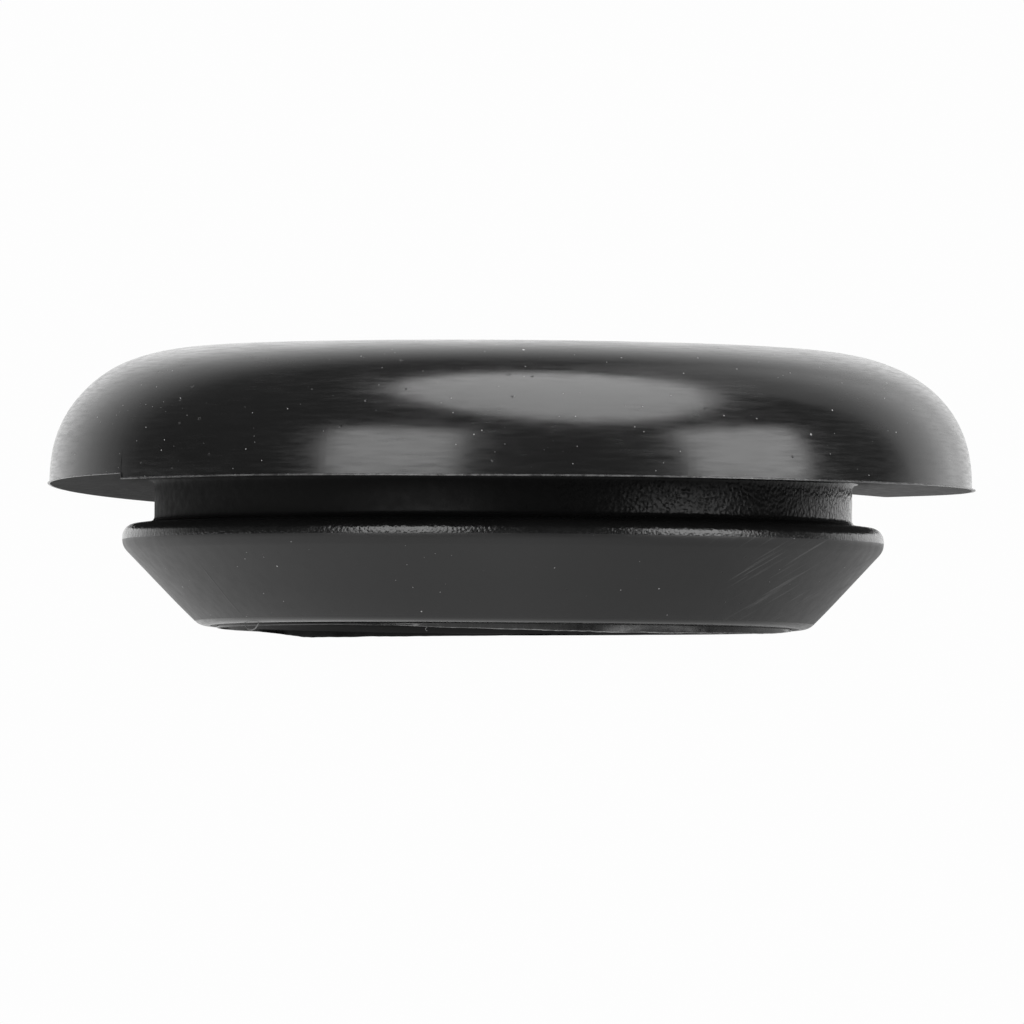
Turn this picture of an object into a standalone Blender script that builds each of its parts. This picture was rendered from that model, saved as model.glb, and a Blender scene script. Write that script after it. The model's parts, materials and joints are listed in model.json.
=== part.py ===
"""Push-in desk grommet: one soft black moulding whose mouth is closed by a slit diaphragm.

Run with: blender --background --python part.py, or from Blender's text editor.

Frame: metres, +Z up along the axis of revolution. The origin is the centre of the foot's flat end, the lowest
point. Flap 1 lies towards +X, and the flaps are numbered anticlockwise seen from above.
"""

import math

import bmesh
import bpy

MM = 0.001

# Diameters and radial sizes of the outer body
NECK_D = 50.2 * MM  # sits in a 50.8 mm (2 inch) hole
CAP_D = 66.6 * MM
BARB = 2.3 * MM  # how far the lower flange stands out past the neck
NECK_WALL = 5.1 * MM
FOOT_LAND = 1.4 * MM  # flat end of the foot, before its edge is rounded
FOOT_FLARE = 0.5 * MM  # lead-in cut at the cavity's mouth

# Heights, from the foot upwards
CONE_H = 5.8 * MM  # foot to the sharp corner of the lower flange
BARB_EDGE_H = 1.62 * MM  # height of that flange's outer edge, before it is rounded
BARB_RISE = 0.18 * MM  # the flange's top climbs this much from its edge to the neck
GROOVE_W = 2.55 * MM  # takes the panel or the liner of the hole
CAP_H = 9.93 * MM

# Cap: a superellipse from the rim to the crown, then a rounded edge down into the well
DOME_POWER = 2.4
CROWN_LAND = 1.3 * MM
WELL_EDGE_R = 1.6 * MM
WELL_DEPTH = 2.5 * MM

# Diaphragm
FLAPS = 8
DIAPHRAGM_T = 1.6 * MM
RING_LEDGE = 3.0 * MM  # shelf between the cavity wall and the outer ends of the slits
WELL_LEDGE = 0.4 * MM  # shelf left outside the ends of the slits, seen from above
SLIT_W = 0.5 * MM
CENTRE_HOLE_R = 3.0 * MM
HINGE_GAP = 0.3 * MM  # clearance between a flap's rounded root and the ring

# Edge radii
FOOT_EDGE_R = 0.8 * MM
BARB_LOW_R = 1.2 * MM
BARB_TOP_R = 1.0 * MM
GROOVE_R = 0.4 * MM
WELL_FLOOR_R = 0.5 * MM
CAVITY_ROOF_R = 1.2 * MM
SIDE_SHARE = 0.98  # the most of a side that roundings may use, so that their ends stay apart

# Facets
TURN_STEPS = 96  # a multiple of FLAPS keeps the facets alike behind each flap
DOME_STEPS = 14
ARC_STEPS = 3
ROOT_STEPS = 6

# Levels and radii that follow from the sizes above
NECK_R = NECK_D / 2
BARB_R = NECK_R + BARB
CAVITY_R = NECK_R - NECK_WALL
FOOT_IN_R = CAVITY_R + FOOT_FLARE
FOOT_R = FOOT_IN_R + FOOT_LAND
BARB_EDGE_Z = CONE_H + BARB_EDGE_H
NECK_LOW_Z = BARB_EDGE_Z + BARB_RISE
SEAT_Z = NECK_LOW_Z + GROOVE_W
CROWN_Z = SEAT_Z + CAP_H
DIAPHRAGM_TOP_Z = CROWN_Z - WELL_DEPTH
DIAPHRAGM_LOW_Z = DIAPHRAGM_TOP_Z - DIAPHRAGM_T
HINGE_Z = (DIAPHRAGM_TOP_Z + DIAPHRAGM_LOW_Z) / 2
HALF_ANGLE = math.pi / FLAPS
SLIT_END_R = CAVITY_R - RING_LEDGE
RING_APOTHEM = SLIT_END_R * math.cos(HALF_ANGLE)
ROOT_R = DIAPHRAGM_T / 2
HINGE_APOTHEM = RING_APOTHEM - HINGE_GAP - ROOT_R
WELL_R = SLIT_END_R + WELL_LEDGE
CROWN_R = WELL_R + WELL_EDGE_R + CROWN_LAND


def clear_scene():
    for thing in list(bpy.data.objects):
        bpy.data.objects.remove(thing, do_unlink=True)


def soft_plastic(name, colour, roughness):
    """Plasticised PVC: an even, non-metallic black whose finish is set by its roughness."""
    material = bpy.data.materials.new(name)
    material.use_nodes = True
    shader = material.node_tree.nodes["Principled BSDF"]
    shader.inputs["Base Color"].default_value = (*colour, 1.0)
    shader.inputs["Roughness"].default_value = roughness
    shader.inputs["Metallic"].default_value = 0.0
    return material


def fillet(before, corner, after, radius, room):
    """Arc of the given radius that rounds a corner of an outline, reaching at most room along its sides."""
    legs = [(p[0] - corner[0], p[1] - corner[1]) for p in (before, after)]
    (ax, az), (bx, bz) = [(x / math.hypot(x, z), z / math.hypot(x, z)) for x, z in legs]
    half = math.acos(ax * bx + az * bz) / 2
    reach = min(radius / math.tan(half), room)
    radius = reach * math.tan(half)
    middle_x, middle_z = ax + bx, az + bz
    scale = radius / math.sin(half) / math.hypot(middle_x, middle_z)
    centre = (corner[0] + middle_x * scale, corner[1] + middle_z * scale)
    start = math.atan2(corner[1] + az * reach - centre[1], corner[0] + ax * reach - centre[0])
    end = math.atan2(corner[1] + bz * reach - centre[1], corner[0] + bx * reach - centre[0])
    sweep = (end - start + math.pi) % (2 * math.pi) - math.pi
    angles = [start + sweep * step / ARC_STEPS for step in range(ARC_STEPS + 1)]
    return [(centre[0] + radius * math.cos(a), centre[1] + radius * math.sin(a)) for a in angles]


def rounded(corners):
    """Outline through (r, z, radius) corners; a radius of 0 leaves the corner sharp.

    Two rounded corners share the side between them in the ratio of their radii.
    """
    outline = []
    for index, (r, z, radius) in enumerate(corners):
        if radius == 0:
            outline.append((r, z))
            continue
        ends = corners[index - 1], corners[(index + 1) % len(corners)]
        sides = [math.dist((r, z), end[:2]) * radius / (radius + end[2]) for end in ends]
        outline += fillet(ends[0][:2], (r, z), ends[1][:2], radius, SIDE_SHARE * min(sides))
    return outline


def dome():
    """Superellipse from just outside the crown down to the rim; steps crowd towards both ends."""
    points = []
    for step in range(1, DOME_STEPS + 1):
        angle = math.pi / 2 * (1 - step / DOME_STEPS)
        out = max(0.0, math.cos(angle)) ** (2 / DOME_POWER)
        up = max(0.0, math.sin(angle)) ** (2 / DOME_POWER)
        points.append((CROWN_R + (CAP_D / 2 - CROWN_R) * out, SEAT_Z + CAP_H * up, 0))
    return points


def body_outline():
    """Section of the moulding at +X: over the cap, down the outside, then up through the cavity."""
    start_r = HINGE_APOTHEM - ROOT_R  # inside the octagon, which is cut out afterwards
    corners = [
        (start_r, DIAPHRAGM_TOP_Z, 0),
        (WELL_R, DIAPHRAGM_TOP_Z, WELL_FLOOR_R),
        (WELL_R, CROWN_Z, WELL_EDGE_R),
        (CROWN_R, CROWN_Z, 0),
    ]
    corners += dome()
    corners += [
        (NECK_R, SEAT_Z, GROOVE_R),
        (NECK_R, NECK_LOW_Z, GROOVE_R),
        (BARB_R, BARB_EDGE_Z, BARB_TOP_R),
        (BARB_R, CONE_H, BARB_LOW_R),
        (FOOT_R, 0, FOOT_EDGE_R),
        (FOOT_IN_R, 0, 0),
        (CAVITY_R, FOOT_FLARE, 0),
        (CAVITY_R, DIAPHRAGM_LOW_Z, CAVITY_ROOF_R),
        (start_r, DIAPHRAGM_LOW_Z, 0),
    ]
    return rounded(corners)


def turned(name, outline, material):
    """Closed outline in the XZ plane, turned once round Z by a Screw modifier."""
    mesh = bpy.data.meshes.new(name)
    count = len(outline)
    edges = [(i, (i + 1) % count) for i in range(count)]
    mesh.from_pydata([(r, 0, z) for r, z in outline], edges, [])
    mesh.materials.append(material)
    solid = bpy.data.objects.new(name, mesh)
    bpy.context.scene.collection.objects.link(solid)
    screw = solid.modifiers.new("turn", "SCREW")
    screw.axis = "Z"
    screw.angle = 2 * math.pi
    screw.steps = TURN_STEPS
    screw.render_steps = TURN_STEPS
    screw.use_merge_vertices = True
    screw.merge_threshold = 0.00001
    screw.use_smooth_shade = True
    return solid


def octagon_cutter():
    """Prism through the diaphragm, one side for each flap. Its corners are the outer ends of the slits."""
    mesh = bpy.data.meshes.new("flap_opening_cutter")
    shape = bmesh.new()
    bmesh.ops.create_cone(
        shape,
        cap_ends=True,
        segments=FLAPS,
        radius1=SLIT_END_R,
        radius2=SLIT_END_R,
        depth=3 * DIAPHRAGM_T,
    )
    shape.to_mesh(mesh)
    shape.free()
    cutter = bpy.data.objects.new("flap_opening_cutter", mesh)
    bpy.context.scene.collection.objects.link(cutter)
    cutter.location = (0, 0, HINGE_Z)
    # Corners of the cone lie on +Y and every step from it, so this puts the middle of a side on +X
    cutter.rotation_euler = (0, 0, math.pi / 2 + HALF_ANGLE)
    cutter.hide_render = True
    cutter.display_type = "WIRE"
    return cutter


def make_body(material):
    body = turned("grommet_body", body_outline(), material)
    cut = body.modifiers.new("flap_opening", "BOOLEAN")
    cut.operation = "DIFFERENCE"
    cut.solver = "EXACT"
    cut.object = octagon_cutter()
    return body


def flap_section():
    """Section of a flap: x runs inwards from its hinge axis. The root is a half round about that axis."""
    tip = HINGE_APOTHEM - CENTRE_HOLE_R
    angles = [math.pi / 2 + math.pi * step / ROOT_STEPS for step in range(ROOT_STEPS + 1)]
    root = [(ROOT_R * math.cos(a), ROOT_R * math.sin(a)) for a in angles]
    return root + [(ROOT_R, -ROOT_R), (tip, -ROOT_R), (tip, ROOT_R), (ROOT_R, ROOT_R)]


def flap_mesh(material):
    """Wedge with straight ends on its root.

    Every part of the root lies as far from the neighbouring flap as its widest line, so the flap turns on its
    hinge without crossing the plane that bisects the slit.
    """
    section = flap_section()
    count = len(section)
    slope = math.tan(HALF_ANGLE)
    gap = SLIT_W / 2 / math.cos(HALF_ANGLE)
    half_widths = [(HINGE_APOTHEM - max(x, ROOT_R)) * slope - gap for x, _ in section]
    points = [(x, -w, z) for (x, z), w in zip(section, half_widths)]
    points += [(x, w, z) for (x, z), w in zip(section, half_widths)]
    low_root, low_tip, top_tip, top_root = range(count - 4, count)
    root_end = [*range(low_root + 1), top_root]
    wedge_end = [low_root, low_tip, top_tip, top_root]
    faces = [(i, i + count, (i + 1) % count + count, (i + 1) % count) for i in range(count)]
    faces += [root_end, wedge_end]
    faces += [[i + count for i in reversed(ring)] for ring in (root_end, wedge_end)]
    mesh = bpy.data.meshes.new("flap")
    mesh.from_pydata(points, [], faces)
    mesh.materials.append(material)
    shape = bmesh.new()
    shape.from_mesh(mesh)
    bmesh.ops.recalc_face_normals(shape, faces=shape.faces)
    shape.to_mesh(mesh)
    shape.free()
    mesh.shade_smooth()
    mesh.set_sharp_from_angle(angle=math.radians(40))
    return mesh


def make_flaps(material):
    """One object for each flap, with its origin on its hinge axis and its tip towards the centre."""
    mesh = flap_mesh(material)
    for number in range(FLAPS):
        azimuth = 2 * math.pi * number / FLAPS
        flap = bpy.data.objects.new(f"flap_{number + 1}", mesh)
        bpy.context.scene.collection.objects.link(flap)
        flap.location = (HINGE_APOTHEM * math.cos(azimuth), HINGE_APOTHEM * math.sin(azimuth), HINGE_Z)
        flap.rotation_euler = (0, 0, azimuth + math.pi)


clear_scene()
make_body(soft_plastic("black_soft_pvc", (0.012, 0.012, 0.013), 0.32))
make_flaps(soft_plastic("black_soft_pvc_flap", (0.014, 0.014, 0.015), 0.42))
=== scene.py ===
"""Looks of a push-in desk grommet in soft black PVC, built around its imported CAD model."""

import json
import math

import bpy
import numpy as np
from mathutils import Matrix, Vector

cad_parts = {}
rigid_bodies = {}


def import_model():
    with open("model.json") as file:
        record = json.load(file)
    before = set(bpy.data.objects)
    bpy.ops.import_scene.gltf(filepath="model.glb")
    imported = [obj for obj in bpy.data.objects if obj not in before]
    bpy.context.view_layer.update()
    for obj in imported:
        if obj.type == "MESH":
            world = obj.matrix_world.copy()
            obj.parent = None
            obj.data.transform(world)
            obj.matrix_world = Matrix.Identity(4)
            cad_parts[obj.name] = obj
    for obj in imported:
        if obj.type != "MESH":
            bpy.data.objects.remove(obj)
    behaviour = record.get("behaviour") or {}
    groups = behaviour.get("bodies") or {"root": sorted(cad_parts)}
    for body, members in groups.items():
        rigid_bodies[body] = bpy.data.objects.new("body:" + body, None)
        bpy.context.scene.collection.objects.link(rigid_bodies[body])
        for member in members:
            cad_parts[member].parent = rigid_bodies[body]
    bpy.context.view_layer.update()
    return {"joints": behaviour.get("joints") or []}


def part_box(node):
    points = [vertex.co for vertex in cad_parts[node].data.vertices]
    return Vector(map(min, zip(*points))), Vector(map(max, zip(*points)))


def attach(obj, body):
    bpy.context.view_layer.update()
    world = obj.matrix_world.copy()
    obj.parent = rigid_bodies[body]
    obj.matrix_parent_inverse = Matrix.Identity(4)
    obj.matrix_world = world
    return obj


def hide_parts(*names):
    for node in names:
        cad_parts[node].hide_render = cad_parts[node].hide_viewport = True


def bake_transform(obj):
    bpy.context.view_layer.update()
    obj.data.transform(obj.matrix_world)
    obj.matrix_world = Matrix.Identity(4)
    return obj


for leftover in list(bpy.data.objects):
    bpy.data.objects.remove(leftover, do_unlink=True)
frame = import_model()


# ---------------------------------------------------------------- camera and studio
# A long lens looks at the grommet's side from a touch below its foot, where it stands on a glass light table
# that is clear from its underside. A large softbox hangs overhead, two smaller ones stand left and right of
# the camera, a dim card stands behind on the right, and a white surround closes the set.

MM = 0.001
CAMERA_DISTANCE = 1.10
CAMERA_ELEVATION = math.radians(-1.45)
CAMERA_ROLL = math.radians(0.38)
SENSOR_WIDTH = 36
FIELD_WIDTH = 73.7 * MM
AIM = Vector((0.37 * MM, 0, 8.45 * MM))
LIGHT_DISTANCE = 2.0
SURROUND_SEEN = 0.985
SURROUND_THROWN = (0.09, 1.3)  # towards the camera and overhead, then behind and low down
TABLE_RADIUS = 1.6
TABLE_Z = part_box("grommet_body")[0].z - 0.56 * MM  # just under the flash that hangs from the foot
TABLE_GREY = 0.15
TABLE_SEEN = 0.72


def place_camera():
    """Camera set back from AIM, turned to face it, then rolled a little about its own line of sight."""
    data = bpy.data.cameras.new("camera")
    data.sensor_width = SENSOR_WIDTH
    data.lens = SENSOR_WIDTH * CAMERA_DISTANCE / FIELD_WIDTH
    data.clip_end = 10
    camera = bpy.data.objects.new("camera", data)
    bpy.context.scene.collection.objects.link(camera)
    back = Vector((0, -math.cos(CAMERA_ELEVATION), math.sin(CAMERA_ELEVATION)))
    turn = (-back).to_track_quat("-Z", "Y").to_matrix().to_4x4()
    roll = Matrix.Rotation(CAMERA_ROLL, 4, "Z")
    camera.matrix_world = Matrix.Translation(AIM + back * CAMERA_DISTANCE) @ turn @ roll
    bpy.context.scene.camera = camera


def softbox(name, shape, azimuth, elevation, width, height, radiance):
    """Panel that spans width by height degrees, seen from the grommet. Azimuth runs to the camera's right."""
    a = math.radians(azimuth)
    e = math.radians(elevation)
    out = Vector((math.sin(a) * math.cos(e), -math.cos(a) * math.cos(e), math.sin(e)))
    data = bpy.data.lights.new(name, "AREA")
    data.shape = shape
    data.size = 2 * LIGHT_DISTANCE * math.tan(math.radians(width / 2))
    data.size_y = 2 * LIGHT_DISTANCE * math.tan(math.radians(height / 2))
    filled = math.pi / 4 if shape == "ELLIPSE" else 1
    data.energy = radiance * math.pi * data.size * data.size_y * filled
    panel = bpy.data.objects.new(name, data)
    bpy.context.scene.collection.objects.link(panel)
    turn = out.to_track_quat("Z", "Y").to_matrix().to_4x4()
    panel.matrix_world = Matrix.Translation(out * LIGHT_DISTANCE) @ turn
    panel.visible_camera = False


def add_node(tree, kind, settings=(), **inputs):
    """New shader node. Inputs are given by name, with _ for a space, as values or as sockets to link from."""
    made = tree.nodes.new(kind)
    for key, value in dict(settings).items():
        setattr(made, key, value)
    for key, value in inputs.items():
        socket = made.inputs[int(key[1:])] if key[1:].isdigit() else made.inputs[key.replace("_", " ")]
        if isinstance(value, bpy.types.NodeSocket):
            tree.links.new(value, socket)
        else:
            socket.default_value = value
    return made


def ramp(tree, value, low, high, to_low, to_high):
    """Value from low to high becomes to_low to to_high, and no more."""
    return add_node(
        tree, "ShaderNodeMapRange", Value=value, From_Min=low, From_Max=high, To_Min=to_low, To_Max=to_high
    ).outputs["Result"]


def calc(tree, operation, *terms):
    """Result of one sum on numbers or sockets, such as MULTIPLY, ADD or MAXIMUM."""
    inputs = {f"_{place}": term for place, term in enumerate(terms)}
    return add_node(tree, "ShaderNodeMath", {"operation": operation}, **inputs).outputs["Value"]


def shine(tree, thrown, seen):
    """Strength of a glow: seen is what the camera finds, and thrown is what falls on everything else."""
    is_seen = add_node(tree, "ShaderNodeLightPath").outputs["Is Camera Ray"]
    return add_node(tree, "ShaderNodeMix", _0=is_seen, _2=thrown, _3=seen).outputs["Result"]


def white_surround():
    """White behind and low down, fading upwards and to dark on the side that the camera looks from."""
    world = bpy.data.worlds.new("surround")
    world.use_nodes = True
    tree = world.node_tree
    tree.nodes.clear()
    towards = add_node(tree, "ShaderNodeTexCoord").outputs["Generated"]
    split = add_node(tree, "ShaderNodeSeparateXYZ", Vector=towards)
    high = calc(tree, "POWER", split.outputs["Z"], 2.0)
    low = calc(tree, "MULTIPLY_ADD", high, -0.3, split.outputs["Y"])
    glow = ramp(tree, low, 0.28, 0.88, *SURROUND_THROWN)
    strength = shine(tree, glow, SURROUND_SEEN)
    sky = add_node(tree, "ShaderNodeBackground", Color=(1, 1, 1, 1), Strength=strength)
    add_node(tree, "ShaderNodeOutputWorld", Surface=sky.outputs["Background"])
    bpy.context.scene.world = world


def light_table():
    """Disc of white glass: lit from below, so that only a faint shadow stays, and clear from its underside.

    To the eye it is evenly white. What it throws on the grommet falls off in front and to the right.
    """
    mesh = bpy.data.meshes.new("light_table")
    turns = np.linspace(0, 2 * np.pi, 128, endpoint=False)
    rim = np.column_stack([TABLE_RADIUS * np.cos(turns), TABLE_RADIUS * np.sin(turns), np.full(128, TABLE_Z)])
    mesh.from_pydata(rim, [], [list(range(128))])
    material = bpy.data.materials.new("white_glass")
    material.use_nodes = True
    tree = material.node_tree
    tree.nodes.clear()
    diffuse = add_node(tree, "ShaderNodeBsdfDiffuse", Color=(TABLE_GREY, TABLE_GREY, TABLE_GREY, 1))
    spot = add_node(tree, "ShaderNodeTexCoord").outputs["Object"]
    place = add_node(tree, "ShaderNodeSeparateXYZ", Vector=spot)
    front = ramp(tree, place.outputs["Y"], -60 * MM, -34 * MM, 0.06, 0.74)
    right = ramp(tree, place.outputs["X"], 0, 18 * MM, 1.0, 0.62)
    strength = shine(tree, calc(tree, "MULTIPLY", front, right), TABLE_SEEN)
    lamp = add_node(tree, "ShaderNodeEmission", Color=(1, 1, 1, 1), Strength=strength)
    glow = lamp.outputs["Emission"]
    lit = add_node(tree, "ShaderNodeAddShader", _0=diffuse.outputs["BSDF"], _1=glow).outputs["Shader"]
    clear = add_node(tree, "ShaderNodeBsdfTransparent").outputs["BSDF"]
    under = add_node(tree, "ShaderNodeNewGeometry").outputs["Backfacing"]
    glass = add_node(tree, "ShaderNodeMixShader", _0=under, _1=lit, _2=clear)
    add_node(tree, "ShaderNodeOutputMaterial", Surface=glass.outputs["Shader"])
    mesh.materials.append(material)
    table = bpy.data.objects.new("light_table", mesh)
    bpy.context.scene.collection.objects.link(table)


place_camera()
softbox("overhead_softbox", "ELLIPSE", azimuth=28, elevation=71, width=53, height=61, radiance=5.0)
softbox("left_softbox", "RECTANGLE", azimuth=-30, elevation=13.5, width=33, height=38, radiance=4.7)
softbox("right_softbox", "RECTANGLE", azimuth=62, elevation=12, width=34, height=41, radiance=4.9)
softbox("rear_right_card", "RECTANGLE", azimuth=132, elevation=33, width=34, height=76, radiance=0.5)
white_surround()
light_table()
bpy.context.scene.view_settings.view_transform = "Standard"


# ---------------------------------------------------------------- grommet body
# One shot of soft black PVC: a domed cap, the groove for the panel, the barbed flange with its cone, the
# hollow inside and the ring that carries the flaps. It came out of a split mould whose halves met a little
# out of line, so the rim steps at the two partings and the cap and the flange stand to either side.

BODY_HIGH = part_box("grommet_body")[1]
CAP_R = BODY_HIGH.x
CROWN_Z = BODY_HIGH.z
NECK_R = 25.1 * MM
BARB_R = 27.4 * MM
CAVITY_R = 20.0 * MM
FOOT_IN_R = 20.5 * MM
FOOT_R = 21.9 * MM
CONE_H = 5.8 * MM
BARB_EDGE_Z = 7.3 * MM
NECK_LOW_Z = 7.6 * MM
SEAT_Z = 10.15 * MM
WELL_R = 17.4 * MM
WELL_EDGE_R = 1.6 * MM
CROWN_R = 20.3 * MM
DOME_POWER = 2.4
DIAPHRAGM_TOP_Z = CROWN_Z - 2.5 * MM
HALF_T = 0.8 * MM
HINGE_Z = DIAPHRAGM_TOP_Z - HALF_T
HINGE_APOTHEM = math.hypot(*frame["joints"][0]["pos_m"][:2])
FLAPS = len(frame["joints"])
HALF_ANGLE = math.pi / FLAPS
WEB_HALF_T = 0.3 * MM  # half the thickness of the web that each flap bends on
WEB_EDGE = 0.3 * MM  # from the hinge line to where the crease's walls begin
RELIEF_R = 0.55 * MM  # round hole that stops each slit from tearing on
PARTING = math.radians(33.7)
CAP_OFFSET = 0.28 * MM  # the cap stands this far to +X of the middle
LOW_OFFSET = 0.26 * MM  # the flange stands this far to -X, and the foot half as far
DOME_R = CAP_R - 0.13 * MM  # the flash lip round the rim makes up the rest
DISH = 0.42 * MM  # the underside is hollowed, so that the rim bears on the desk first
FILLET = 0.4 * MM  # at the top and the bottom of the neck
WELL_FLOOR_R = 0.5 * MM
BARB_TOP_R = 0.95 * MM
BARB_LOW_R = 1.2 * MM
HEEL_R = 1.2 * MM  # the foot's outer corner
MOUTH_Z = 0.5 * MM  # the cavity's mouth flares out below this height
ROOF_R = 1.2 * MM  # where the cavity's wall meets the diaphragm
NOSE = 0.2 * MM  # chamfer of the ring's inner edge, above and below the web
CREASE = 0.05 * MM  # softening of the creases' outer edges
TURNS = 360
PVC_BLACK = 0.0065
DUST_GREY = 0.42


def corner_arc(before, corner, after, radius, steps):
    """Points of the circle that touches both legs of a corner, from one leg to the other.

    They are the circle's centre plus its two end spokes, each times the sine of its share of the sweep.
    """
    before, corner, after = (np.array(p, float) for p in (before, corner, after))
    legs = [(end - corner) / np.linalg.norm(end - corner) for end in (before, after)]
    half = math.acos(float(legs[0] @ legs[1])) / 2
    middle = (legs[0] + legs[1]) / np.linalg.norm(legs[0] + legs[1])
    centre = corner + middle * radius / math.sin(half)
    spokes = [corner + leg * radius / math.tan(half) - centre for leg in legs]
    blend = np.linspace(0, 1, steps + 1)[:, None]
    sweep = math.acos(float(spokes[0] @ spokes[1]) / radius**2)
    first = spokes[0] * np.sin((1 - blend) * sweep)
    last = spokes[1] * np.sin(blend * sweep)
    return centre + (first + last) / math.sin(sweep)


def straight(start, end, steps):
    """Evenly spaced points from start towards end, leaving both ends out."""
    share = np.linspace(0, 1, steps + 1)[1:-1, None]
    return np.array(start, float) + share * (np.array(end, float) - np.array(start, float))


def dome_curve(steps):
    """Quarter superellipse from the crown to the rim: (across)^2.4 + (up)^2.4 = 1."""
    angle = np.linspace(np.pi / 2, 0, steps + 1)
    out = np.clip(np.cos(angle), 0, 1) ** (2 / DOME_POWER)
    up = np.clip(np.sin(angle), 0, 1) ** (2 / DOME_POWER)
    return np.column_stack([CROWN_R + (DOME_R - CROWN_R) * out, SEAT_Z + (CROWN_Z - SEAT_Z) * up])


def cone_point(share):
    """Point of the cone, from 0 at the foot to 1 at the flange."""
    return (FOOT_R + share * (BARB_R - FOOT_R), share * CONE_H)


def body_section():
    """Closed section (r, z) from the flap ring over the cap, down the outside and up through the cavity.

    Returns the points and the name of the stretch that each belongs to.
    """
    top = DIAPHRAGM_TOP_Z
    under = HINGE_Z - HALF_T
    nose = HINGE_APOTHEM + WEB_EDGE
    crease = nose + HALF_T - WEB_HALF_T
    neck_top = (NECK_R, SEAT_Z + DISH)
    neck_low = (NECK_R, NECK_LOW_Z)
    barb_edge = (BARB_R, BARB_EDGE_Z)
    stretches = [
        ("ring", [(nose, HINGE_Z + WEB_HALF_T), (nose + NOSE, HINGE_Z + WEB_HALF_T + NOSE)]),
        ("ring", [(crease - CREASE, top - CREASE), (crease + CREASE, top)]),
        ("ring", straight((crease, top), (WELL_R - WELL_FLOOR_R, top), 8)),
        ("well", corner_arc((0, top), (WELL_R, top), (WELL_R, CROWN_Z), WELL_FLOOR_R, 6)),
        ("cap", corner_arc((WELL_R, 0), (WELL_R, CROWN_Z), (CAP_R, CROWN_Z), WELL_EDGE_R, 14)),
        ("cap", dome_curve(46)[:-1]),
        ("lip", [(DOME_R, SEAT_Z + 0.12 * MM), (CAP_R, SEAT_Z + 0.07 * MM), (CAP_R, SEAT_Z + 0.01 * MM)]),
        ("seat", [(DOME_R, SEAT_Z), (DOME_R - 0.35 * MM, SEAT_Z)]),
        ("seat", straight((DOME_R - 0.35 * MM, SEAT_Z), (NECK_R + FILLET, SEAT_Z + DISH), 12)),
        ("neck", corner_arc((CAP_R, SEAT_Z), neck_top, (NECK_R, 0), FILLET, 5)),
        ("neck", straight((NECK_R, SEAT_Z + DISH - FILLET), (NECK_R, NECK_LOW_Z + FILLET), 8)),
        ("neck", corner_arc((NECK_R, SEAT_Z), neck_low, barb_edge, FILLET, 5)),
        ("barb", corner_arc(neck_low, barb_edge, (BARB_R, 0), BARB_TOP_R, 10)),
        ("cone", corner_arc(barb_edge, (BARB_R, CONE_H), (FOOT_R, 0), BARB_LOW_R, 8)),
        ("cone", straight(cone_point(0.91), cone_point(0.08), 16)),
        ("heel", corner_arc((BARB_R, CONE_H), (FOOT_R, 0), (0, 0), HEEL_R, 9)),
        ("foot", straight((FOOT_R - 0.5 * MM, 0), (FOOT_IN_R + 0.1 * MM, 0), 4)),
        ("foot", corner_arc((FOOT_R, 0), (FOOT_IN_R, 0), (CAVITY_R, MOUTH_Z), 0.15 * MM, 4)),
        ("cavity", corner_arc((FOOT_IN_R, 0), (CAVITY_R, MOUTH_Z), (CAVITY_R, under), 0.3 * MM, 3)),
        ("cavity", straight((CAVITY_R, 0.7 * MM), (CAVITY_R, under - ROOF_R), 14)),
        ("cavity", corner_arc((CAVITY_R, 0), (CAVITY_R, under), (0, under), ROOF_R, 7)),
        ("under", straight((CAVITY_R - ROOF_R, under), (crease + CREASE, under), 8)),
        ("under", [(crease + CREASE, under), (crease - CREASE, under + CREASE)]),
        ("under", [(nose + NOSE, HINGE_Z - WEB_HALF_T - NOSE), (nose, HINGE_Z - WEB_HALF_T)]),
    ]
    points = np.vstack([np.array(part, float) for _, part in stretches])
    names = [name for name, part in stretches for _ in range(len(part))]
    return points, np.array(names)


def azimuths():
    """Even turns, with more lines at the two partings and beside the slits, where the shape is finest."""
    fine = np.radians(np.concatenate([np.arange(-1.2, 1.21, 0.15), [-0.04, 0.04]]))
    partings = (PARTING + np.array([0, np.pi]))[:, None] + fine
    beside = np.radians([-2.2, -1.7, -1.2, -0.6, 0.6, 1.2, 1.7, 2.2])
    slits = (HALF_ANGLE * (2 * np.arange(FLAPS) + 1))[:, None] + beside
    even = np.linspace(0, 2 * np.pi, TURNS, endpoint=False)
    return np.unique(np.round(np.concatenate([even, partings.ravel(), slits.ravel()]) % (2 * np.pi), 6))


def ripple(phi, waves, seed):
    """Smooth random outline round the axis, about -1 to 1: a sum of cosines of whole numbers of waves."""
    chance = np.random.default_rng(seed)
    counts = np.arange(waves[0], waves[1] + 1)
    phases = chance.uniform(0, 2 * np.pi, len(counts))
    sizes = chance.uniform(0.4, 1.0, len(counts))
    return (np.cos(np.multiply.outer(phi, counts) + phases) @ sizes) / np.sqrt((sizes**2).sum() * 2)


def hump(phi, degrees, sharpness):
    """Round hump of height 1 at one azimuth: e to the power of sharpness x (cosine of the angle off - 1)."""
    return np.exp((np.cos(phi - math.radians(degrees)) - 1) * sharpness)


def flap_edge(phi, apothem):
    """Radius of the octagon that carries the flaps, opened out round each slit's relief hole."""
    off = (phi + HALF_ANGLE) % (2 * HALF_ANGLE) - HALF_ANGLE
    octagon = apothem / np.cos(off)
    corner = (HINGE_APOTHEM + WEB_EDGE) / math.cos(HALF_ANGLE)
    aside = HALF_ANGLE - np.abs(off)
    reach = RELIEF_R**2 - (corner * np.sin(aside)) ** 2
    hole = corner * np.cos(aside) + np.sqrt(np.clip(reach, 0, None))
    return np.where(reach > 0, np.maximum(octagon, hole + (apothem - HINGE_APOTHEM - WEB_EDGE)), octagon)


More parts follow.
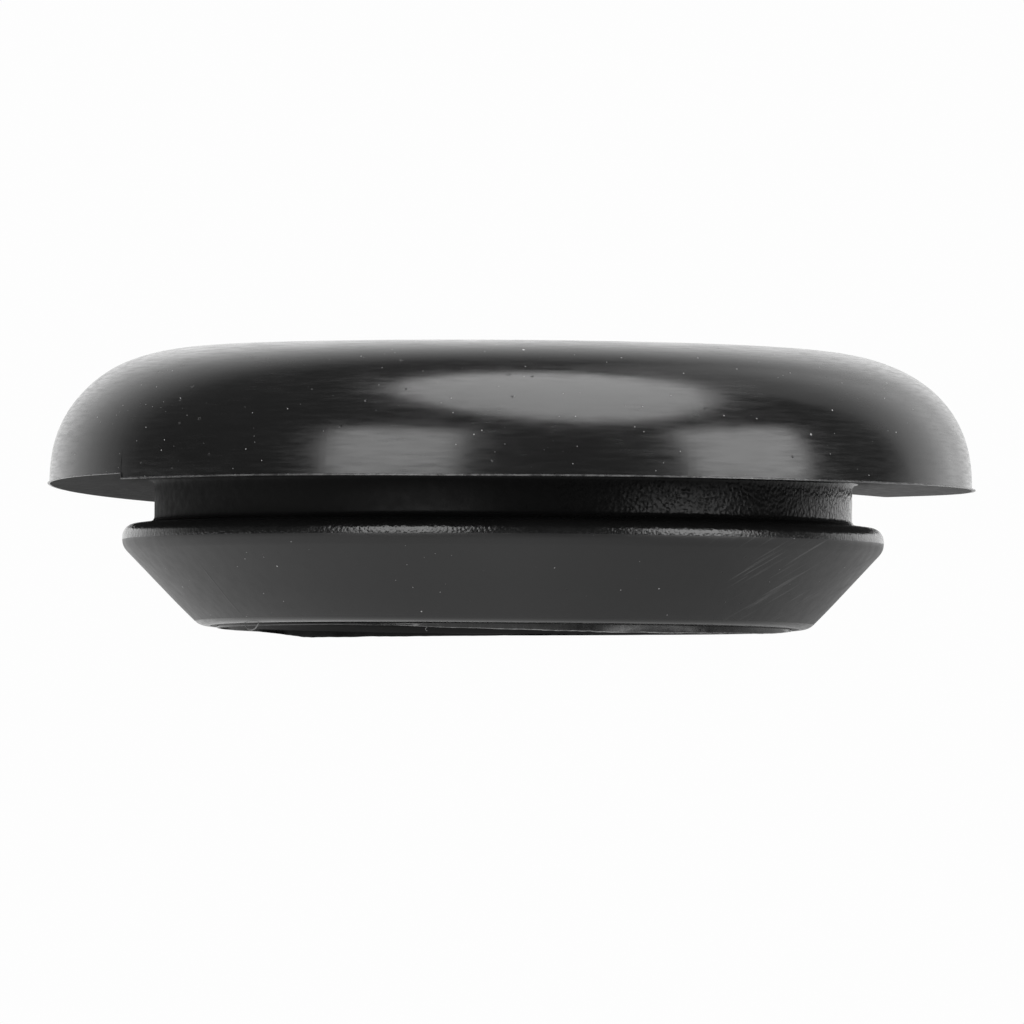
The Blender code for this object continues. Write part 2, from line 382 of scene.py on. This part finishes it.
def rim_height(phi):
    """How far the rim's lower edge strays from its plane: a step at each parting, and a sag at the rear left.

    The rear half runs straight between knots, given as (share of the half turn, mm). The front half ripples.
    """
    knots = [(0, 0.27), (0.06, 0.46), (0.3, 0.3), (0.52, -0.3), (0.6, -0.62), (0.68, -0.35), (0.8, 0.06)]
    knots += [(0.93, 0.3), (1.0, 0.38)]
    shares, lifts = np.array(knots).T
    turn = ((phi - PARTING) % (2 * np.pi)) / np.pi
    rear = np.interp(turn, shares, lifts * MM)
    front = 0.03 * MM * ripple(phi, (2, 9), 5)
    return np.where(turn < 1, rear, front)


def grid_mesh(name, points):
    """Mesh of a grid of points, rows by columns by xyz, where rows and columns both close on themselves.

    Rows run downwards on the outside and columns anticlockwise, so that the faces point outwards.
    """
    rows, columns = points.shape[:2]
    index = np.arange(rows * columns).reshape(rows, columns)
    below = np.roll(index, -1, axis=0)
    quads = np.stack([index, below, np.roll(below, -1, axis=1), np.roll(index, -1, axis=1)], axis=-1)
    mesh = bpy.data.meshes.new(name)
    mesh.from_pydata(points.reshape(-1, 3), [], quads.reshape(-1, 4))
    return mesh


def write_lay(mesh, x, y, along):
    """Keep the coordinates that the mould's turning lines follow: a place on a circle, and the way across."""
    lay = np.stack(np.broadcast_arrays(x, y, along), axis=-1).astype(np.float32)
    mesh.attributes.new("lay", "FLOAT_VECTOR", "POINT").data.foreach_set("vector", lay.ravel())


def body_mesh(finishes):
    """The section turned round Z, with the moulding's faults: x = r cos(azimuth) + shift, y = r sin(azimuth).

    r and z start as the section's own at every azimuth. Each fault adds to them an amount that depends on the
    azimuth, times a fade along the section. Finishes are pairs of (stretches, material), one slot each.
    """
    section, names = body_section()
    phi = azimuths()
    r = np.repeat(section[:, :1], len(phi), axis=1)
    z = np.repeat(section[:, 1:], len(phi), axis=1)
    rise = (section[:, 1] - SEAT_Z) / (CROWN_Z - SEAT_Z)
    ring = np.isin(names, ["ring", "under"])
    cap = np.isin(names, ["cap", "lip"])
    seat = names == "seat"

    # The ring's rows slide from a circle to the octagon that holds the flaps.
    outer = np.where(names == "ring", WELL_R - WELL_FLOOR_R, CAVITY_R - ROOF_R)
    inner = HINGE_APOTHEM + WEB_EDGE
    slide = np.clip((outer - section[:, 0]) / (outer - inner), 0, 1)[:, None] ** 1.5
    bend = flap_edge(phi, inner)[None, :] - inner
    r = np.where(ring[:, None], r + slide * bend, r)

    # The rim's edge goes up and down, less and less up the dome and across the seat.
    fade = np.where(cap, np.clip(1 - rise * 4.5, 0, 1) ** 2, 0)
    seat_share = np.clip((section[:, 0] - NECK_R - FILLET) / (DOME_R - NECK_R - FILLET), 0, 1)
    fade = np.where(seat, seat_share, fade)
    z = z + fade[:, None] * rim_height(phi)[None, :]

    # A lip of flash stands out round the rim, most at the right.
    lip = (names == "lip") & (section[:, 0] > DOME_R)
    flare = 0.025 * MM * ripple(phi, (20, 120), 11) + 0.12 * MM * hump(phi, 0, 20)
    r = r + np.where(lip, 1.0, 0.0)[:, None] * flare[None, :]

    # The cap's side is a little out of round.
    wave = 0.035 * MM * ripple(phi, (2, 7), 3)[None, :] * np.clip(1 - rise, 0, 1)[:, None]
    r = r + np.where((cap & (rise < 0.999))[:, None], wave, 0)

    # A raised hairline runs down the cone at each parting.
    off = np.minimum((phi - PARTING) % np.pi, (PARTING - phi) % np.pi)
    hairline = 0.012 * MM * np.exp(-((off / math.radians(0.14)) ** 2))
    low_cone = (names == "cone") * np.clip((4.6 * MM - section[:, 1]) / (1 * MM), 0, 1)
    r = r + low_cone[:, None] * hairline[None, :]

    # The dome's shoulder is fuller at the left.
    shoulder = np.where(names == "cap", np.exp(-(((rise - 0.86) / 0.16) ** 2)), 0)
    z = z + shoulder[:, None] * (0.15 * MM * hump(phi, 190, 6))[None, :]

    # The foot is worn short at the front left and, by less, at the right.
    low = np.isin(names, ["cone", "heel", "foot", "cavity"])
    low_end = low * np.clip(1 - section[:, 1] / (2.4 * MM), 0, 1) ** 2
    short = 0.17 * MM * hump(phi, 222, 1.6) + 0.11 * MM * hump(phi, -20, 3)
    z = z + low_end[:, None] * short[None, :]

    # The cap stands to the right and the flange to the left. The seat, the well and the cavity join them up.
    low_shift = -LOW_OFFSET * (0.5 + 0.5 * np.clip(section[:, 1] / CONE_H, 0, 1))
    shift = np.where(cap, CAP_OFFSET, low_shift)
    shift = np.where(seat, -LOW_OFFSET + (CAP_OFFSET + LOW_OFFSET) * fade, shift)
    well = np.clip((CROWN_R - section[:, 0]) / (CROWN_R - WELL_R), 0, 1)
    shift = np.where((names == "cap") & (section[:, 0] < CROWN_R), CAP_OFFSET * (1 - well), shift)
    roof = np.clip((section[:, 1] - 2 * MM) / (HINGE_Z - 4 * MM), 0, 1)
    shift = np.where(names == "cavity", low_shift * (1 - roof), shift)
    shift = np.where(ring | (names == "well"), 0, shift)

    points = np.stack([r * np.cos(phi) + shift[:, None], r * np.sin(phi), z], axis=-1)
    mesh = grid_mesh("grommet_body", points)
    steps = np.linalg.norm(np.diff(section, axis=0, prepend=section[:1]), axis=1)
    write_lay(mesh, CAP_R * np.cos(phi), CAP_R * np.sin(phi), np.cumsum(steps)[:, None])
    slots = np.zeros(len(names), np.int32)
    for slot, (stretches, material) in enumerate(finishes):
        mesh.materials.append(material)
        slots[np.isin(names, stretches)] = slot
    mesh.polygons.foreach_set("material_index", np.repeat(slots, len(phi)))
    return mesh


def lay_noise(tree, around, across, detail):
    """Noise drawn out along the mould's turning lines: around and across are its counts per metre."""
    lay = add_node(tree, "ShaderNodeAttribute", {"attribute_name": "lay"}).outputs["Vector"]
    counts = (around, around, across)
    drawn = add_node(tree, "ShaderNodeVectorMath", {"operation": "MULTIPLY"}, _0=lay, _1=counts)
    lines = drawn.outputs["Vector"]
    noise = add_node(tree, "ShaderNodeTexNoise", Vector=lines, Scale=1.0, Detail=detail, Roughness=0.6)
    return noise.outputs["Fac"]


def solid_noise(tree, scale, detail=3.0):
    """Even noise through the solid, with scale features per metre."""
    place = add_node(tree, "ShaderNodeTexCoord").outputs["Object"]
    return add_node(tree, "ShaderNodeTexNoise", Vector=place, Scale=scale, Detail=detail).outputs["Fac"]


def specks(tree, per_metre, size, share):
    """Sparse round specks, 1 inside and 0 outside: the middles of a share of the cells of a cell pattern."""
    place = add_node(tree, "ShaderNodeTexCoord").outputs["Object"]
    cells = add_node(tree, "ShaderNodeTexVoronoi", Vector=place, Scale=per_metre)
    chance = add_node(tree, "ShaderNodeSeparateXYZ", Vector=cells.outputs["Color"])
    radius = calc(tree, "MULTIPLY", chance.outputs["Y"], size * per_metre)
    inside = ramp(tree, calc(tree, "DIVIDE", cells.outputs["Distance"], radius), 0.6, 1.0, 1.0, 0.0)
    return calc(tree, "MULTIPLY", inside, calc(tree, "LESS_THAN", chance.outputs["X"], share))


def relief(tree, height, depth, under=None):
    """Bump of the given depth in metres, laid over another if one is given."""
    inputs = {"Height": height, "Distance": depth, "Strength": 1.0}
    if under is not None:
        inputs["Normal"] = under
    return add_node(tree, "ShaderNodeBump", **inputs).outputs["Normal"]


def new_pvc(name, specular=0.5):
    """Empty material with a Principled shader whose constant values are set on its own sockets."""
    material = bpy.data.materials.new(name)
    material.use_nodes = True
    shader = material.node_tree.nodes["Principled BSDF"]
    shader.inputs["IOR"].default_value = 1.5
    shader.inputs["Specular IOR Level"].default_value = specular
    return material, material.node_tree, shader


def paint_grey(tree, shader, value):
    """Base colour of one grey, dark or light by the value."""
    colour = add_node(tree, "ShaderNodeCombineColor", Red=value, Green=value, Blue=value)
    tree.links.new(colour.outputs["Color"], shader.inputs["Base Color"])


def dust_and_pit_shade_black(tree, shader, dust, shaded_pits, black=PVC_BLACK):
    """Black that is greyer on specks of dust, with a slow change over the surface, and darkened in pits as
    painted shade.
    """
    cloud = ramp(tree, solid_noise(tree, 90), 0.3, 0.7, black * 0.8, black * 1.25)
    grey = calc(tree, "MAXIMUM", cloud, calc(tree, "MULTIPLY", dust, DUST_GREY))
    # Painted shade: inside the pits the colour falls to 0.3 of itself.
    paint_grey(tree, shader, calc(tree, "MULTIPLY", grey, ramp(tree, shaded_pits, 0, 1, 1, 0.3)))


def polished_cap():
    """Face of the polished half of the mould: glossy, with the cutter's faint turning lines and some dust."""
    material, tree, shader = new_pvc("pvc_polished_cap")
    big = specks(tree, per_metre=520, size=0.12 * MM, share=0.6)
    small = specks(tree, per_metre=1500, size=0.055 * MM, share=0.9)
    dust = calc(tree, "MAXIMUM", big, small)
    # Pits: sunk by the bump below and darkened in colour as painted shade.
    shaded_pits = specks(tree, per_metre=760, size=0.15 * MM, share=0.6)
    dust_and_pit_shade_black(tree, shader, dust, shaded_pits)
    smear = ramp(tree, solid_noise(tree, 140, 5), 0.35, 0.7, 0.0, 0.04)
    turning = lay_noise(tree, around=420, across=4600, detail=4)
    lines = ramp(tree, turning, 0.35, 0.65, 0.15, 0.25)
    glossy = calc(tree, "ADD", lines, smear)
    tree.links.new(calc(tree, "ADD", glossy, calc(tree, "MULTIPLY", dust, 0.5)), shader.inputs["Roughness"])
    turned = relief(tree, turning, 0.0017 * MM)
    peel = relief(tree, solid_noise(tree, 900, 3), 0.0030 * MM, turned)
    dots = relief(tree, calc(tree, "SUBTRACT", dust, shaded_pits), 0.03 * MM, peel)
    tree.links.new(dots, shader.inputs["Normal"])
    return material


def grained(name, specular, black, depth, per_metre, roughness, left=1.0, fine_lay=9000):
    """Face from a spark-eroded part of the mould: a leathery grain of the given depth, in bent round cells.

    left is the share of that depth on the side at -X, where the mould is worn. Roughness is (at -X, at +X).
    fine_lay is how many fine marks a metre holds across the turning lines.
    """
    material, tree, shader = new_pvc(name, specular=specular)
    dust = specks(tree, per_metre=600, size=0.10 * MM, share=0.3)
    # Pits: sunk by the bump below and darkened in colour as painted shade.
    shaded_pits = specks(tree, per_metre=900, size=0.09 * MM, share=0.3)
    dust_and_pit_shade_black(tree, shader, dust, shaded_pits, black)
    place = add_node(tree, "ShaderNodeTexCoord").outputs["Object"]
    side = add_node(tree, "ShaderNodeSeparateXYZ", Vector=place).outputs["X"]
    mottle = ramp(tree, solid_noise(tree, 1500, 2), 0.3, 0.7, -0.05, 0.06)
    rough = calc(tree, "ADD", ramp(tree, side, -24 * MM, 12 * MM, *roughness), mottle)
    tree.links.new(rough, shader.inputs["Roughness"])
    bent = add_node(tree, "ShaderNodeTexNoise", Vector=place, Scale=2500.0, Detail=2.0).outputs["Color"]
    small = add_node(tree, "ShaderNodeVectorMath", {"operation": "SCALE"}, _0=bent, Scale=0.12 * MM)
    moved = add_node(tree, "ShaderNodeVectorMath", {"operation": "ADD"}, _0=place, _1=small.outputs["Vector"])
    spot = moved.outputs["Vector"]
    cells = add_node(tree, "ShaderNodeTexVoronoi", {"feature": "SMOOTH_F1"}, Vector=spot, Scale=per_metre)
    worn = ramp(tree, side, 3 * MM, 11 * MM, left, 1.0)
    grain = relief(tree, calc(tree, "MULTIPLY", cells.outputs["Distance"], worn), depth)
    marks = lay_noise(tree, around=9000, across=fine_lay, detail=2)
    fine = relief(tree, marks, 0.006 * MM, grain)
    tree.links.new(fine, shader.inputs["Normal"])
    return material


def scuffed_cone():
    """Satin face of the cone, scuffed slantwise where it was dragged out of the mould and handled."""
    material, tree, shader = new_pvc("pvc_satin_cone")
    big = specks(tree, per_metre=600, size=0.09 * MM, share=0.5)
    small = specks(tree, per_metre=1500, size=0.05 * MM, share=0.6)
    dust = calc(tree, "MAXIMUM", big, small)
    # Pits: sunk by the bump below and darkened in colour as painted shade.
    shaded_pits = specks(tree, per_metre=800, size=0.11 * MM, share=0.5)
    place = add_node(tree, "ShaderNodeTexCoord").outputs["Object"]
    slant = add_node(
        tree,
        "ShaderNodeMapping",
        {"vector_type": "TEXTURE"},
        Vector=place,
        Rotation=(0, math.radians(-31), 0),
        Scale=(7 * MM, 20 * MM, 0.17 * MM),
    ).outputs["Vector"]
    drag = add_node(tree, "ShaderNodeTexNoise", Vector=slant, Scale=1.0, Detail=4.0).outputs["Fac"]
    side = add_node(tree, "ShaderNodeSeparateXYZ", Vector=place).outputs["X"]
    right_hand = ramp(tree, side, 13 * MM, 17 * MM, 0, 1)
    scuff = calc(tree, "MULTIPLY", right_hand, ramp(tree, drag, 0.58, 0.70, 0, 1))
    dust_and_pit_shade_black(tree, shader, calc(tree, "MAXIMUM", dust, calc(tree, "MULTIPLY", scuff, 0.14)), shaded_pits)
    satin = ramp(tree, lay_noise(tree, around=900, across=900, detail=4), 0.3, 0.7, 0.34, 0.42)
    tree.links.new(calc(tree, "ADD", satin, calc(tree, "MULTIPLY", scuff, 0.12)), shader.inputs["Roughness"])
    grain = relief(tree, lay_noise(tree, around=6000, across=6000, detail=3), 0.004 * MM)
    scratched = relief(tree, scuff, 0.005 * MM, grain)
    dots = relief(tree, calc(tree, "SUBTRACT", dust, shaded_pits), 0.03 * MM, scratched)
    tree.links.new(dots, shader.inputs["Normal"])
    return material


def flash_painted_sheen_finish(name, dark, light, specular=0.5):
    """Thin flash where the mould shut: the same PVC, painted grey between dark and light as sheen, for light
    shining through it and caught on its thin edges.
    """
    material, tree, shader = new_pvc(name, specular=specular)
    # Painted sheen: this grey stands in for light through the thin PVC and on its edges.
    paint_grey(tree, shader, ramp(tree, solid_noise(tree, 1800, 4), 0.35, 0.7, dark, light))
    tree.links.new(ramp(tree, solid_noise(tree, 2600, 3), 0.3, 0.7, 0.20, 0.30), shader.inputs["Roughness"])
    tree.links.new(relief(tree, solid_noise(tree, 2500, 3), 0.006 * MM), shader.inputs["Normal"])
    return material


def plain_inside(name, specular):
    """Face left by the steel core, in the cavity and on the diaphragm: even, fine and duller than the cap."""
    material, tree, shader = new_pvc(name, specular=specular)
    dust = specks(tree, per_metre=500, size=0.11 * MM, share=0.35)
    # Pits: sunk by the bump below and darkened in colour as painted shade.
    shaded_pits = specks(tree, per_metre=800, size=0.08 * MM, share=0.3)
    dust_and_pit_shade_black(tree, shader, dust, shaded_pits)
    satin = ramp(tree, lay_noise(tree, around=100, across=2600, detail=4), 0.3, 0.7, 0.36, 0.47)
    tree.links.new(satin, shader.inputs["Roughness"])
    lines = relief(tree, lay_noise(tree, around=60, across=4200, detail=3), 0.006 * MM)
    tree.links.new(relief(tree, solid_noise(tree, 5000, 3), 0.008 * MM, lines), shader.inputs["Normal"])
    return material


def show(name, mesh, sharp_degrees=40):
    """Object of a finished mesh, smooth except across edges sharper than the given angle."""
    mesh.shade_smooth()
    mesh.set_sharp_from_angle(angle=math.radians(sharp_degrees))
    thing = bpy.data.objects.new(name, mesh)
    bpy.context.scene.collection.objects.link(thing)
    return thing


body_finishes = [
    (["cap", "well", "heel"], polished_cap()),
    (["neck"], grained("pvc_grained_groove", 0.11, PVC_BLACK, 0.040 * MM, 3600.0, (0.62, 0.20), left=0.2)),
    (["barb"], grained("pvc_grained_flange", 0.5, 0.006, 0.020 * MM, 5500.0, (0.20, 0.20), fine_lay=1800)),
    (["cone"], scuffed_cone()),
    (["ring", "under"], plain_inside("pvc_diaphragm_side", 0.45)),
    # The rim's flash lip is painted grey as a highlight along the rim's lower edge.
    (["lip"], flash_painted_sheen_finish("pvc_rim_flash_painted_highlight", 0.03, 0.12)),
    (["seat"], grained("pvc_matt_seat", 0.22, 0.008, 0.020 * MM, 2400.0, (0.85, 0.52))),
    (["foot", "cavity"], plain_inside("pvc_cavity_side", 0.12)),
]
moulding = show("grommet_moulding", body_mesh(body_finishes))
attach(moulding, "body")
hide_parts("grommet_body")


# ---------------------------------------------------------------- flash on the foot
# Where the core met the mould, PVC crept out round the cavity's mouth. A ragged skirt of it hangs from the
# foot, a hairpin of the same stuff sticks out near the parting, and a stray fibre clings to the skirt.

SKIRT_R = 20.62 * MM
SKIRT_T = 0.07 * MM
SKIRT_FOOT_Z = 0.06 * MM  # its root sits this far inside the foot
HAIRPIN_R = 0.05 * MM
FIBRE_R = 0.025 * MM
THREAD_SIDES = 10


def skirt_drop(phi):
    """How far the skirt hangs: straight runs between knots (degrees, mm), times a ragged ripple.

    It is longest at the near right and the far left.
    """
    near = [(-180, 0.05), (-150, 0.03), (-128, 0.03), (-112, 0.10), (-104, 0.22), (-92, 0.33), (-71, 0.50)]
    right = [(-50, 0.49), (-22, 0.33), (-8, 0.10), (4, 0.03), (60, 0.03), (90, 0.09), (101, 0.16)]
    far = [(112, 0.23), (124, 0.34), (135, 0.42), (143, 0.22), (150, 0.10), (180, 0.05)]
    degrees, drops = np.array(near + right + far).T
    around = (phi + np.pi) % (2 * np.pi) - np.pi
    ragged = 1 + 0.05 * ripple(phi, (9, 40), 21) + 0.025 * ripple(phi, (60, 150), 22)
    return np.interp(around, np.radians(degrees), drops * MM) * ragged


def skirt_mesh(near_painted_sheen, rear_finish, edge_painted_sheen):
    """Closed ribbon turned round Z: z falls from the foot by skirt_drop, and r wanders and thins."""
    phi = np.linspace(0, 2 * np.pi, 1440, endpoint=False)
    down = np.array([0, 0.25, 0.5, 0.75, 0.88, 1.0, 0.88, 0.75, 0.5, 0.25, 0])[:, None]
    side = np.array([1, 1, 0.95, 0.85, 0.6, 0.0, -0.6, -0.85, -0.95, -1, -1])[:, None] / 2
    wander = 0.08 * MM * ripple(phi, (4, 18), 23) + 0.01 * MM * ripple(phi, (40, 90), 24)
    r = SKIRT_R + side * SKIRT_T * (1.15 - 0.5 * down) + down**2 * wander
    z = SKIRT_FOOT_Z - down * (SKIRT_FOOT_Z + skirt_drop(phi))
    points = np.stack([r * np.cos(phi) - LOW_OFFSET / 2, r * np.sin(phi), z], axis=-1)
    mesh = grid_mesh("foot_flash", points)
    for finish in (near_painted_sheen, rear_finish, edge_painted_sheen):
        mesh.materials.append(finish)
    edge_rows = np.isin(np.arange(len(down)), [4, 5])[:, None]
    # The near half takes the lighter copy, painted with sheen; the rear half a darker copy close to plain
    # black.
    slots = np.where(np.sin(phi) > 0, 1, np.where(edge_rows, 2, 0))
    mesh.polygons.foreach_set("material_index", slots.astype(np.int32).ravel())
    return mesh


def thread_mesh(name, path, radius, finish):
    """Round thread along a path of points, thinner towards both ends, which close on a face.

    At each point a circle stands across the path, on two axes made from the path's direction.
    """
    ahead = np.gradient(path, axis=0)
    ahead /= np.linalg.norm(ahead, axis=1)[:, None]
    first = np.cross(ahead, [0.3, 0.8, 0.5])
    first /= np.linalg.norm(first, axis=1)[:, None]
    second = np.cross(ahead, first)
    turns = np.linspace(0, 2 * np.pi, THREAD_SIDES, endpoint=False)[None, :, None]
    size = radius * np.sqrt(np.sin(np.linspace(0.02, np.pi - 0.02, len(path))))[:, None, None]
    circle = first[:, None, :] * np.cos(turns) + second[:, None, :] * np.sin(turns)
    points = (path[:, None, :] + size * circle).reshape(-1, 3)
    index = np.arange(len(points)).reshape(len(path), THREAD_SIDES)
    onward = np.roll(index, -1, axis=1)
    quads = np.stack([index[:-1], onward[:-1], onward[1:], index[1:]], axis=-1).reshape(-1, 4)
    mesh = bpy.data.meshes.new(name)
    mesh.from_pydata(points, [], quads.tolist() + [index[0][::-1].tolist(), index[-1].tolist()])
    mesh.materials.append(finish)
    return mesh


def around_foot(azimuth, radius, height):
    """Points at azimuths in degrees, radii and heights in millimetres, on the foot's own axis."""
    angle = np.radians(azimuth)
    x = radius * MM * np.cos(angle) - LOW_OFFSET / 2
    return np.column_stack([x, radius * MM * np.sin(angle), height * MM])


along = np.linspace(-1, 1, 25)
hairpin_path = around_foot(212.3 + 3.0 * along, 21.3 + 0 * along, 0.34 - 0.70 * (1 - np.abs(along) ** 2.4))
fibre_path = around_foot(-105.5 + 0.4 * along**2, 20.8 + 0.05 * along, -0.36 - 0.14 * along)
# The near skirt's copy is painted lighter as sheen; the rear copy stays near plain black and reflects less.
near_flash_painted_sheen = flash_painted_sheen_finish("pvc_foot_flash_painted_sheen", 0.008, 0.022)
rear_flash = flash_painted_sheen_finish("pvc_foot_flash_rear", 0.006, 0.010, specular=0.12)
# Painted sheen: the hairpin, the fibre and the skirt's lower edge are greyed for the light they catch.
thin_strand_painted_sheen = flash_painted_sheen_finish("pvc_thin_strand_painted_sheen", 0.10, 0.26)
skirt = show("foot_flash_skirt", skirt_mesh(near_flash_painted_sheen, rear_flash, thin_strand_painted_sheen))
hairpin = show("foot_hairpin", thread_mesh("hairpin", hairpin_path, HAIRPIN_R, thin_strand_painted_sheen))
fibre = show("foot_fibre", thread_mesh("fibre", fibre_path, FIBRE_R, thin_strand_painted_sheen))
for piece in (skirt, hairpin, fibre):
    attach(piece, "body")


# ---------------------------------------------------------------- flaps
# Eight wedges of the same PVC, which cover the hole and let a cable through. They are moulded in one with the
# ring: each hangs on a thin web between two creases, and slits with a round end part it from its neighbours.

SLIT_HALF = 0.25 * MM
CENTRE_HOLE_R = 3.0 * MM
TIP_APOTHEM = CENTRE_HOLE_R * math.cos(HALF_ANGLE) + 0.2 * MM
FLAP_EDGE_R = 0.18 * MM
WEB_OVERLAP = 0.03 * MM  # how far the web's end sits inside the ring's nose
FIRST_FLAP_SEED = 41


def flap_outline(apothem):
    """Half width of a flap at each distance from the axis: a wedge, cut in by the slits' round ends."""
    wedge = apothem * math.tan(HALF_ANGLE) - SLIT_HALF / math.cos(HALF_ANGLE)
    corner = HINGE_APOTHEM + WEB_EDGE
    hole = np.sqrt(np.clip(RELIEF_R**2 - (apothem - corner) ** 2, 0, None))
    return np.where(hole > 0, np.minimum(wedge, corner * math.tan(HALF_ANGLE) - hole), wedge)


def flap_thickness(apothem):
    """Half thickness: thin in the web, then 45 degree walls up to the flap's full thickness."""
    return np.clip(WEB_HALF_T + (HINGE_APOTHEM - WEB_EDGE - apothem), WEB_HALF_T, HALF_T)


def flap_mesh(name, seed, turn, finish):
    """Closed loops round the flap's section, carried from the web to the tip.

    A loop holds (across, up), with a quarter circle of the edge radius at each corner. The last loops shrink
    on a quarter circle too, and the first and last are closed by a face. A twist and a curl that grow towards
    the tip are added, then the flap is turned to its place.
    """
    chance = np.random.default_rng(seed)
    web = HINGE_APOTHEM + WEB_EDGE + WEB_OVERLAP - np.linspace(0, 1.0 * MM, 17)
    blade = np.linspace(web[-1], TIP_APOTHEM + FLAP_EDGE_R, 22)[1:]
    apothem = np.concatenate([web, blade, np.full(5, TIP_APOTHEM + FLAP_EDGE_R)])
    shrink = np.concatenate([np.zeros(len(web) + len(blade)), np.linspace(0, math.pi / 2, 6)[1:]])
    apothem = apothem - FLAP_EDGE_R * np.sin(shrink)
    inset = FLAP_EDGE_R * (1 - np.cos(shrink))
    half_width = (flap_outline(apothem) - inset)[:, None]
    half_height = (flap_thickness(apothem) - inset)[:, None]

    edge = np.linspace(0, math.pi / 2, 6)
    curve = FLAP_EDGE_R * np.clip(half_height / FLAP_EDGE_R, 0, 1)
    corner_v = half_width - curve + curve * np.cos(edge)
    corner_z = half_height - curve + curve * np.sin(edge)
    across = (half_width - curve) * np.linspace(1, -1, 16)[None, 1:-1]
    v_top = np.hstack([corner_v, across, -corner_v[:, ::-1]])
    z_top = np.hstack([corner_z, half_height + 0 * across, corner_z[:, ::-1]])
    v = np.hstack([v_top, v_top[:, ::-1]])
    z = np.hstack([z_top, -z_top[:, ::-1]])

    along = np.clip((HINGE_APOTHEM - WEB_EDGE - apothem) / HINGE_APOTHEM, 0, 1)[:, None]
    curl, twist, side_curl = chance.uniform((-0.16, -0.012, -0.10), (0.20, 0.012, 0.10))
    z = z + curl * MM * along**2 * 2.2 + twist * v * along * 2 + side_curl * MM * (v / (5 * MM)) ** 2 * along
    u = apothem[:, None] + 0 * v
    x = u * math.cos(turn) - v * math.sin(turn)
    y = u * math.sin(turn) + v * math.cos(turn)

    rows, columns = v.shape
    index = np.arange(rows * columns).reshape(rows, columns)
    onward = np.roll(index, -1, axis=1)
    quads = np.stack([index[:-1], index[1:], onward[1:], onward[:-1]], axis=-1).reshape(-1, 4)
    faces = quads.tolist() + [index[0].tolist(), index[-1][::-1].tolist()]
    mesh = bpy.data.meshes.new(name)
    mesh.from_pydata(np.stack([x, y, HINGE_Z + z], axis=-1).reshape(-1, 3), [], faces)
    write_lay(mesh, x, y, CAP_R)
    mesh.materials.append(finish)
    return mesh


def satin_flap():
    """Flap finish: satin, with a fine even grain from the mould and a few specks of dust."""
    material, tree, shader = new_pvc("pvc_satin_flap", specular=0.45)
    dust = specks(tree, per_metre=450, size=0.11 * MM, share=0.4)
    # Pits: sunk by the bump below and darkened in colour as painted shade.
    shaded_pits = specks(tree, per_metre=800, size=0.08 * MM, share=0.3)
    dust_and_pit_shade_black(tree, shader, dust, shaded_pits, 0.0075)
    tree.links.new(ramp(tree, solid_noise(tree, 700, 4), 0.3, 0.7, 0.38, 0.46), shader.inputs["Roughness"])
    soft = relief(tree, solid_noise(tree, 350, 2), 0.012 * MM)
    tree.links.new(relief(tree, solid_noise(tree, 5200, 3), 0.008 * MM, soft), shader.inputs["Normal"])
    return material


flap_finish = satin_flap()
for number, joint in enumerate(frame["joints"], start=1):
    turn = math.atan2(joint["pos_m"][1], joint["pos_m"][0])
    flap_shape = flap_mesh(f"flap_{number}", FIRST_FLAP_SEED + number - 1, turn, flap_finish)
    flap = show(f"flap_{number}_wedge", flap_shape)
    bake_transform(flap)
    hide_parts(f"flap_{number}")
